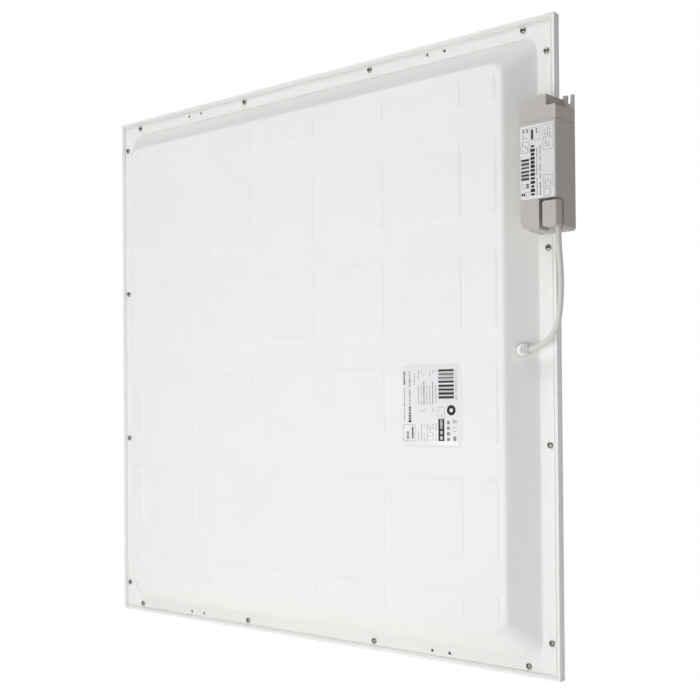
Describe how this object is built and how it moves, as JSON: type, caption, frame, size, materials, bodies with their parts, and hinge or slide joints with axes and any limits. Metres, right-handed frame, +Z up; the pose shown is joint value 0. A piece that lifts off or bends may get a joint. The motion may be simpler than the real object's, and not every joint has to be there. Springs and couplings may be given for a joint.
{
  "type": "led panel light",
  "caption": "Square back-lit LED ceiling panel: mitred frame, pressed rear tray, opal diffuser, cable gland and an external plastic driver on a short DC lead.",
  "frame": {"origin": "centre of the square panel, on the rear face of the tray's flange, which is the plane of the accessory holes", "axes": "+X along the panel's width towards the driver, +Z up the panel's height as it stands on edge, +Y out of the lit face; the driver, gland and tray crown are at -Y"},
  "size_m": [0.6144, 0.0392, 0.595],
  "materials": {
    "frame_paint": "satin white powder coat",
    "tray_paint": "satin white powder coat",
    "key_steel": "zinc plated",
    "screw_steel": "nickel plated",
    "label_film": "printed polyester film",
    "opal_sheet": "opal matte",
    "clear_plastic": "clear moulded",
    "board_mask": "white solder mask",
    "led_phosphor": "silicone phosphor",
    "connector_nylon": "moulded",
    "wire_jacket": "extruded",
    "lead_jacket": "extruded, satin",
    "gland_nylon": "moulded nylon",
    "seal_rubber": "matte",
    "foam_pad": "closed-cell foam",
    "driver_shell": "fine moulded texture",
    "terminal_plastic": "moulded",
    "button_plastic": "moulded",
    "circuit_board": "solder mask",
    "ferrite": "sintered",
    "winding_tape": "polyester tape",
    "can_sleeve": "shrink sleeve",
    "plate_aluminium": "mill finish",
    "black_epoxy": "moulded",
    "fuse_sleeve": "sleeved"
  },
  "bodies": {
    "panel": {"frame_rail_bottom": "frame_paint", "frame_rail_left": "frame_paint", "frame_rail_top": "frame_paint", "frame_rail_right": "frame_paint", "rear_tray": "tray_paint", "corner_keys": "key_steel", "tray_screws": "screw_steel", "tray_label": "label_film", "driver_label": "label_film", "diffuser": "opal_sheet", "diffuser_supports": "clear_plastic", "led_lenses": "clear_plastic", "led_bar_1": "board_mask", "led_bar_2": "board_mask", "led_bar_3": "board_mask", "led_bar_4": "board_mask", "led_bar_5": "board_mask", "led_bar_6": "board_mask", "led_chips": "led_phosphor", "bar_connectors": "connector_nylon", "bar_jumpers": "wire_jacket", "inner_lead": "wire_jacket", "dc_lead": "lead_jacket", "gland_body": "gland_nylon", "gland_locknut": "gland_nylon", "gland_seal": "seal_rubber", "lead_bush": "seal_rubber", "foam_tape": "foam_pad", "driver_base": "driver_shell", "driver_cover": "driver_shell", "mains_terminal_block": "terminal_plastic", "driver_pcb": "circuit_board", "transformer_core": "ferrite", "filter_choke": "ferrite", "transformer_winding": "winding_tape", "input_capacitor": "can_sleeve", "output_capacitors": "can_sleeve", "heatsink_plate": "plate_aluminium", "switching_transistor": "black_epoxy", "mains_fuse": "fuse_sleeve"},
    "output_clamp": {"output_clamp": "driver_shell"},
    "terminal_cover": {"terminal_cover": "driver_shell"},
    "line_button": {"line_button": "button_plastic"},
    "neutral_button": {"neutral_button": "button_plastic"}
  },
  "joints": [
    {"name": "terminal_cover_slide", "type": "slide", "parent": "panel", "child": "terminal_cover", "axis": [0, 0, 1], "range_m": [0, 0.026]},
    {"name": "output_clamp_slide", "type": "slide", "parent": "panel", "child": "output_clamp", "axis": [0, -1, 0], "range_m": [0, 0.009]},
    {"name": "line_button_press", "type": "slide", "parent": "panel", "child": "line_button", "axis": [0, 1, 0], "range_m": [0, 0.0015], "stiffness_N_per_m": 800},
    {"name": "neutral_button_press", "type": "slide", "parent": "panel", "child": "neutral_button", "axis": [0, 1, 0], "range_m": [0, 0.0015], "stiffness_N_per_m": 800}
  ]
}
